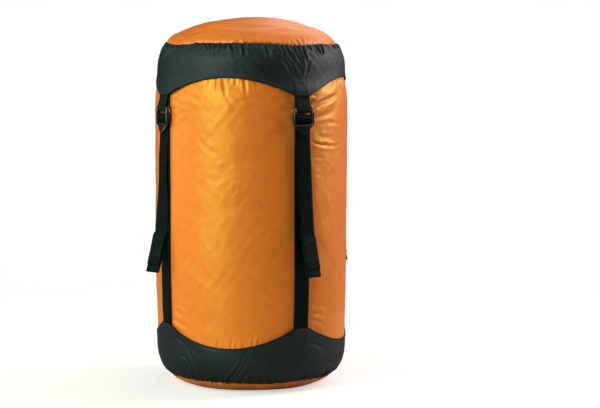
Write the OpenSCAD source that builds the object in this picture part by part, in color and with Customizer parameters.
// Four-strap compression sack, standing full on its base.
// Frame: origin at the centre of the base on the ground, +Z up.
// The four straps stand at -Y (front), +X (right), +Y (back) and -X (left).
// Strap parts are drawn at the right-hand station, where +X is outward, then turned into place.

/* [Sack] */
// Outer diameter of the filled body
body_d = 236; // [200:1:260]
// Overall height, ground to the crown of the lid
sack_h = 448; // [420:1:560]
// Rise of the domed lid panel above its seam
dome_h = 31; // [24:1:34]
// Modelled thickness of the body and end panels
cloth_t = 0.8; // [0.6:0.1:0.9]
// Modelled thickness of the harness bands
band_t = 0.9; // [0.6:0.1:1.0]

/* [Harness bands] */
// Height of the lowest point of each base arch
base_arch_z = 57; // [52:1:62]
// Rise of a base arch from its middle to the strap
base_arch_rise = 24; // [18:1:24]
// Drop of a lid arch from its middle to the strap
lid_arch_drop = 22; // [18:1:22]

/* [Webbing] */
// Width of the strap webbing
web_w = 20; // [15:1:20]
// Thickness of the strap webbing
web_t = 1.3; // [1.0:0.1:1.3]
// Length of the free strap end below the buckle
tail_l = 168; // [120:1:175]
// Length of the folded and stitched pull end
pull_l = 48; // [30:1:50]
// Layers in the folded pull end
pull_layers = 3; // [2:1:3]

/* [Buckles] */
// Radius of the bar that the fixed loop hangs on
top_bar_r = 1.7; // [1.4:0.1:1.8]
// Radius of the bar that the strap turns over
strap_bar_r = 1.9; // [1.6:0.1:2.0]
// Distance between the two bars
bar_pitch = 8.2; // [7.8:0.1:8.4]
// Thickness of a buckle side rail
rail_w = 3.2; // [2.4:0.1:3.6]

/* [Drawcord] */
// Cord diameter
cord_d = 2.2; // [1.6:0.1:2.4]
// Outer diameter of the cord lock barrel
lock_d = 11.2; // [10.4:0.1:11.6]
// Travel of the cord lock plunger
press_travel = 4; // [3:0.5:4]

/* [Hidden] */
$fn = 96;

orange = [0.93, 0.50, 0.08];
charcoal = [0.13, 0.16, 0.17];
black = [0.05, 0.06, 0.06];

// Station angles about the axis
right = 0;
back = 90;
left = 180;
front = 270;
side_seam_angle = 45;

body_r = body_d / 2;
outline_r = 118;                     // body radius the outline tables are drawn for

// Heights
base_arch_top = base_arch_z + base_arch_rise;
lid_seam_z = sack_h - dome_h;
lid_band_z = lid_seam_z - 62;        // lowest edge of the lid band, at a strap
body_top_z = lid_seam_z - 66.6;      // where the body panel meets the collar
top_bar_z = lid_seam_z - 78.5;
strap_bar_z = top_bar_z - bar_pitch;
swing_z = top_bar_z - 28.5;          // where the free end can swing from
turn_end_z = swing_z + 1;            // lower end of the strap turn
fold_z = swing_z - 67;               // where the free end folds
pull_bottom_z = turn_end_z - tail_l;

// Distances from the axis
bend_r = 2.6;                        // webbing centreline around either bar
bars_x = body_r + 3.5;
strap_x = bars_x - bend_r;           // standing strap's centreline
tail_x = bars_x - 1.0;               // free strap's centreline behind the tongue

// ---- outlines from a centreline ----
function unit(v) = v / norm(v);
function left_of(v) = [-v[1], v[0]];
function reversed(line) = [for (i = [len(line) - 1:-1:0]) line[i]];
function heading(line, i) =
    i == 0 ? unit(line[1] - line[0])
    : i == len(line) - 1 ? unit(line[i] - line[i - 1])
    : unit(unit(line[i] - line[i - 1]) + unit(line[i + 1] - line[i]));
// Lengthens the offset at a corner so the ribbon keeps its thickness
function miter(line, i) =
    (i == 0 || i == len(line) - 1) ? 1
    : 1 / max(0.5, left_of(heading(line, i)) * left_of(unit(line[i] - line[i - 1])));
function offset_line(line, dist) = [for (i = [0:len(line) - 1])
    line[i] + left_of(heading(line, i)) * dist * miter(line, i)];
function ribbon(line, near, far) =
    concat(offset_line(line, near), reversed(offset_line(line, far)));
function arc(centre, radius, start, stop, steps) = [for (i = [0:steps])
    let(angle = start + (stop - start) * i / steps)
    centre + radius * [cos(angle), sin(angle)]];

// Fits an outline table to the body radius, leaving its middle alone, and lifts it
function fitted(table, lift = 0) = [for (point = table)
    [point[0] + (point[0] > 40 ? body_r - outline_r : 0), point[1] + lift]];

// Thin turned shell whose outer face follows the line
module shell(line, thick) {
    rotate_extrude()
        polygon([for (point = ribbon(line, 0, thick)) [max(0, point[0]), point[1]]]);
}

// Outline in the radius-height plane, given a width across it
module plate(outline, width) {
    rotate([90, 0, 0]) linear_extrude(height = width, center = true) polygon(outline);
}

// Webbing bent along a line in the radius-height plane
module web(line, width = web_w, thick = web_t) {
    plate(ribbon(line, -thick / 2, thick / 2), width);
}

// Round bar along Y, centred
module cross_bar(radius, length, facets) {
    rotate([90, 0, 0]) cylinder(r = radius, h = length, center = true, $fn = facets);
}

module at(angle) { rotate([0, 0, angle]) children(); }

// ---- parts shared by the base and the lid ----
arch_half_angle = 40.2;
arch_steps = 14;                     // steps in each half of an arch
bartack_t = 0.6;
bartack_h = 1.2;

// Everything above (up = 1) or below (up = -1) one arch, on the +X side
module arch_prism(mid_z, rise, up) {
    edge = [for (i = [-arch_steps:arch_steps])
        [(body_r + 4) * sin(arch_half_angle * i / arch_steps),
         mid_z + up * rise * pow(i / arch_steps, 2)]];
    far_z = mid_z + up * (rise + 20);
    rotate([90, 0, 90]) linear_extrude(height = body_r + 30)
        polygon(concat(edge, [[edge[2 * arch_steps][0], far_z], [edge[0][0], far_z]]));
}

// Band with an arch cut between each two straps
module harness_band(line, mid_z, rise, up) {
    color(charcoal) difference() {
        shell(line, band_t);
        for (angle = [45:90:315]) at(angle) arch_prism(mid_z, rise, up);
    }
}

module seam_tape(inner_r, outer_r, low_z, high_z) {
    color(black) rotate_extrude()
        polygon([[inner_r, low_z], [outer_r, low_z], [outer_r, high_z], [inner_r, high_z]]);
}

// Stitch rows at every strap; places are [radius of inner face, height of centre]
module bartacks(places) {
    color(black) for (angle = [0:90:270]) at(angle)
        for (place = places)
            translate([place[0] + bartack_t / 2, 0, place[1]])
                cube([bartack_t, web_w - 2, bartack_h], center = true);
}

// ---- base ----
// Outer profiles here and below: [radius, height]
base_outline = fitted([
    [0, 0], [74, 0], [84, 1.5], [92.5, 5.0], [98.5, 9.2], [101.6, 12.6]]);
base_band_outline = fitted([
    [102.5, 13.5], [106.5, 17], [110, 21.5], [112.8, 27.5], [115.2, 36], [116.4, 46],
    [116.8, base_arch_z], [117.8, base_arch_z + 7], [119.2, base_arch_z + 15],
    [119.6, base_arch_top]]);

module base_panel() { color(orange) shell(base_outline, cloth_t); }
module base_band() { harness_band(base_band_outline, base_arch_z, base_arch_rise, 1); }
module base_seam_tape() { seam_tape(body_r - 21.4, body_r - 19, 14.2, 17.6); }
module base_bartacks() {
    bartacks([[body_r + 1.6, base_arch_top - 3.2], [body_r + 1.6, base_arch_top - 7.0]]);
}

// ---- body ----
body_outline = fitted([
    [101, 15.5], [104.8, 18.6], [108.3, 22.9], [111.3, 28.6], [113.7, 36.8], [114.9, 46.4],
    [115.4, 57], [115.6, 66], [116, 81], [116.6, 100], [117.2, 120], [117.8, 150], [118, 200],
    [118, lid_seam_z - 97], [117.8, lid_seam_z - 72], [117.6, body_top_z - 0.4]]);

// Seam strip: starts behind the base band, then lies on the body outline
seam_w = 11;
seam_t = 0.8;
seam_offset = 0.75;                  // centreline outside the body's outer face
seam_line = concat(
    [[body_r - 1.85, base_arch_z + 3]],
    [for (point = body_outline) if (point[1] > base_arch_z + 8)
        [point[0] + seam_offset, point[1]]]);

label_w = 18;
label_t = 0.7;
label_angle = side_seam_angle - 8.4;
label_line = [[body_r - 1.3, 67], [body_r - 0.9, 81], [body_r - 0.3, 100]];

module body_panel() { color(orange) shell(body_outline, cloth_t); }
module side_seam() { color(orange) at(side_seam_angle) web(seam_line, seam_w, seam_t); }
module side_label() { color(black) at(label_angle) web(label_line, label_w, label_t); }

// ---- standing straps, from under the base band to behind the buckles ----
strap_line = [[body_r - 1.0, 70.5], [body_r - 0.7, 81], [body_r + 0.5, 100],
    [strap_x, 130], [strap_x, swing_z - 2]];

module standing_strap(angle) { color(black) at(angle) web(strap_line); }
module strap_front() { standing_strap(front); }
module strap_right() { standing_strap(right); }
module strap_back() { standing_strap(back); }
module strap_left() { standing_strap(left); }

// ---- collar ----
// Heights are above the lid band's lowest edge
neck_outline = fitted([
    [117.5, body_top_z - lid_band_z], [117.2, 1], [116.2, 7], [115.6, 11], [114.2, 17],
    [113.2, 23], [112.6, 29], [112.0, 35], [110.9, 41], [108.9, 46], [105.5, 50.5],
    [100, 54.3], [90, 58], [80, 60.6], [60, 64.6], [40, 67.6], [24, 69.4], [16, 71],
    [12.5, 75], [13.5, 79], [17, 83]], lid_band_z);

module neck_collar() { color(orange) shell(neck_outline, cloth_t); }

// ---- drawcord: a ring around the neck, two runs outward along +X and an end ball ----
cord_z = lid_band_z + 76;
cord_ring_r = 14;
cord_run_x = 14.1;
cord_run_l = 46.3;
cord_run_rise = 1.35;                // each run's height above or below the ring
cord_ball_r = 3;

module drawcord() {
    color(black) union() {
        translate([0, 0, cord_z]) rotate_extrude()
            translate([cord_ring_r, 0]) circle(r = cord_d / 2, $fn = 24);
        for (s = [-1, 1])
            translate([cord_run_x, 0, cord_z + s * cord_run_rise]) rotate([0, 90, 0])
                cylinder(r = cord_d / 2, h = cord_run_l, $fn = 24);
        translate([cord_run_x + cord_run_l, 0, cord_z]) sphere(r = cord_ball_r, $fn = 32);
    }
}

// ---- cord lock, its axis along Y and its mouth towards +Y ----
lock_x = 32;
barrel_mouth_y = 7;
barrel_l = 21;
bore_r = 4.2;
bore_l = 20.5;                       // from 1 beyond the mouth
stem_top_y = 12.4;
stem_r = 4.1;
stem_l = 16.6;
cap_top_y = 15.2;
cap_l = 3.2;
slot_l = 24;
slot_h = 6.2;

// Cylinder on the lock's axis, from top_y towards -Y
module lock_rod(top_y, radius, length) {
    translate([lock_x, top_y, cord_z]) rotate([90, 0, 0]) cylinder(r = radius, h = length);
}

// Opening for the two cord runs
module cord_slot(low_y, high_y) {
    translate([lock_x - slot_l / 2, low_y, cord_z - slot_h / 2])
        cube([slot_l, high_y - low_y, slot_h]);
}

module cord_lock_barrel() {
    color(black) difference() {
        lock_rod(barrel_mouth_y, lock_d / 2, barrel_l);
        lock_rod(barrel_mouth_y + 1, bore_r, bore_l);
        cord_slot(-1.6, 1.6);
    }
}

module cord_lock_plunger() {
    color(charcoal) difference() {
        union() {
            lock_rod(stem_top_y, stem_r, stem_l);
            lock_rod(cap_top_y, lock_d / 2 - 0.3, cap_l);
        }
        cord_slot(-1.5, 1.7 + press_travel);
    }
}

spring_top_y = -4.6;
spring_l = 6.7;
spring_r = 3.1;
spring_wire_r = 0.4;
spring_turns = 4;
spring_pitch = 6.3 / spring_turns;   // sets how far the crescent reaches round the coil
crescent_steps = 3;                  // steps in each half of the crescent

// Outer (s = 1) or inner (s = -1) edge of the crescent
function crescent_edge(s) = [for (i = [-crescent_steps:crescent_steps])
    let(part = i / crescent_steps,
        angle = 360 * spring_wire_r / spring_pitch * part,
        radius = spring_r + s * spring_wire_r * sqrt(1.06 - part * part))
    radius * [cos(angle), sin(angle)]];

// The twisted sweep of the crescent is a round wire wound into a coil
module cord_lock_spring() {
    color("silver") translate([lock_x, spring_top_y, cord_z]) rotate([90, 0, 0])
        linear_extrude(height = spring_l, twist = -360 * spring_turns,
            slices = 12 * spring_turns, segments = 1, convexity = 8, $fn = 6)
            polygon(concat(crescent_edge(1), reversed(crescent_edge(-1))));
}

// ---- lid ----
// Heights are above the lid seam
lid_outline = fitted([
    [104.0, 0.1], [99, 0.195 * dome_h], [93, 0.355 * dome_h], [82, 0.515 * dome_h],
    [70, 0.665 * dome_h], [53, 0.82 * dome_h], [30, 0.948 * dome_h], [12, 0.993 * dome_h],
    [0, dome_h]], lid_seam_z);
// Heights are above the band's lowest edge
lid_band_outline = fitted([
    [121.6, 0], [121.3, 3], [120.6, 7], [118.8, 11], [117.2, 15], [116.2, 19], [115.6, 22],
    [115.0, 28], [114.6, 35], [113.9, 41], [112.6, 46.5], [110.6, 52], [107.8, 57.3],
    [104.2, 61.8]], lid_band_z);

module lid_panel() { color(orange) shell(lid_outline, cloth_t); }
module lid_band() {
    harness_band(lid_band_outline, lid_band_z + lid_arch_drop, lid_arch_drop, -1);
}
module lid_seam_tape() {
    seam_tape(body_r - 18.6, body_r - 16.2, lid_seam_z - 4.6, lid_seam_z - 1.4);
}
module lid_bartacks() {
    bartacks([[body_r + 3.6, lid_band_z + 2.4], [body_r + 3.3, lid_band_z + 6.0]]);
}

// ---- webbing loops that hang the buckles from the lid band ----
tab_line = concat(
    [[body_r - 0.95, lid_band_z + 6.5], [body_r, lid_band_z + 1],
     [body_r + 0.7, lid_band_z - 5], [strap_x, lid_band_z - 11]],
    arc([bars_x, top_bar_z], bend_r, 180, 360, 12),
    [[bars_x + 1.7, lid_band_z - 11], [body_r + 2.9, lid_band_z - 5],
     [body_r + 1.4, lid_band_z + 1], [body_r + 0.45, lid_band_z + 6.5]]);

module tab(angle) { color(charcoal) at(angle) web(tab_line); }
module tab_front() { tab(front); }
module tab_right() { tab(right); }
module tab_back() { tab(back); }
module tab_left() { tab(left); }

// ---- ladder-lock buckles, drawn from the centre of the top bar ----
buckle_gap = web_w + 1.6;            // between the rails
buckle_w = buckle_gap + rail_w;      // between the middles of the rails
// Side views: [outward, height]
rail_outline = [
    [-2.3, 3.0], [-1.3, 4.4], [1.1, 4.4], [2.7, 3.0], [3.4, -2.5], [3.3, -10.5], [3.0, -16.2],
    [2.2, -19.2], [1.0, -20.4], [-0.1, -19.6], [-0.1, -17.5], [-1.9, -15], [-2.8, -11.5],
    [-2.8, -0.5]];
tip = [2.55, -26.7];                 // tongue's round lower edge, which the free end bends over
tip_r = 0.85;
tongue_outline = [
    [-0.1, -16.2], [-0.1, -21.5], [0.7, -25], [tip[0] - tip_r, tip[1]],
    [tip[0] + tip_r, tip[1]], [3.0, -25], [2.1, -21], [1.9, -16.2]];
// Front view of one edge of the tongue: [half width, height]
tongue_edge = [
    [12.4, -15], [12.2, -17.4], [10.8, -19.2], [8.5, -21.6], [6.2, -24.2], [4.6, -26.2],
    [3.6, -27.2], [2.4, -27.8]];

module tongue() {
    intersection() {
        union() {
            plate(tongue_outline, buckle_w);
            translate([tip[0], 0, tip[1]]) cross_bar(tip_r, buckle_w, 32);
        }
        translate([-5, 0, 0]) rotate([90, 0, 90]) linear_extrude(height = 12)
            polygon(concat(tongue_edge,
                reversed([for (point = tongue_edge) [-point[0], point[1]]])));
    }
}

module buckle(angle) {
    color(black) at(angle) translate([bars_x, 0, top_bar_z]) union() {
        for (s = [-1, 1]) translate([0, s * buckle_w / 2, 0]) plate(rail_outline, rail_w);
        cross_bar(top_bar_r, buckle_w, 32);
        translate([0, 0, -bar_pitch]) cross_bar(strap_bar_r, buckle_w, 32);
        tongue();
    }
}
module buckle_front() { buckle(front); }
module buckle_right() { buckle(right); }
module buckle_back() { buckle(back); }
module buckle_left() { buckle(left); }

// ---- straps where they turn over the strap bar and come back behind the tongue ----
turn_line = concat(
    [[strap_x, swing_z - 1]],
    arc([bars_x, strap_bar_z], bend_r, 180, 0, 12),
    [[bars_x + bend_r, strap_bar_z - 1.8], [tail_x, strap_bar_z - 7.3], [tail_x, turn_end_z]]);

module strap_turn(angle) { color(black) at(angle) web(turn_line); }
module strap_turn_front() { strap_turn(front); }
module strap_turn_right() { strap_turn(right); }
module strap_turn_back() { strap_turn(back); }
module strap_turn_left() { strap_turn(left); }

// ---- free ends, down to a rounded edge at the fold ----
module tail(angle) {
    color(black) at(angle) union() {
        web([[tail_x, swing_z - 0.4], [tail_x, fold_z]]);
        translate([tail_x, 0, fold_z]) cross_bar(web_t / 2, web_w, 24);
    }
}
module tail_front() { tail(front); }
module tail_right() { tail(right); }
module tail_back() { tail(back); }
module tail_left() { tail(left); }

// ---- pull ends: a single layer below the fold, then the thick part leaning outward ----
pull_top_z = pull_bottom_z + pull_l;
pull_single_line = [[tail_x, fold_z - 3.3], [tail_x + 0.5, fold_z - 28],
    [tail_x + 1.6, pull_top_z - 2]];
pull_thick_line = [[tail_x + 1.5, pull_top_z], [tail_x + 9.6, pull_bottom_z]];

module pull_end(angle) {
    color(black) at(angle) union() {
        web(pull_single_line);
        web(pull_thick_line, web_w, pull_layers * web_t);
    }
}
module pull_end_front() { pull_end(front); }
module pull_end_right() { pull_end(right); }
module pull_end_back() { pull_end(back); }
module pull_end_left() { pull_end(left); }

base_panel();
base_band();
base_seam_tape();
base_bartacks();
body_panel();
side_seam();
side_label();
strap_front();
strap_right();
strap_back();
strap_left();
neck_collar();
drawcord();
cord_lock_barrel();
cord_lock_spring();
cord_lock_plunger();
lid_panel();
lid_band();
lid_seam_tape();
lid_bartacks();
tab_front();
tab_right();
tab_back();
tab_left();
buckle_front();
buckle_right();
buckle_back();
buckle_left();
strap_turn_front();
strap_turn_right();
strap_turn_back();
strap_turn_left();
tail_front();
tail_right();
tail_back();
tail_left();
pull_end_front();
pull_end_right();
pull_end_back();
pull_end_left();
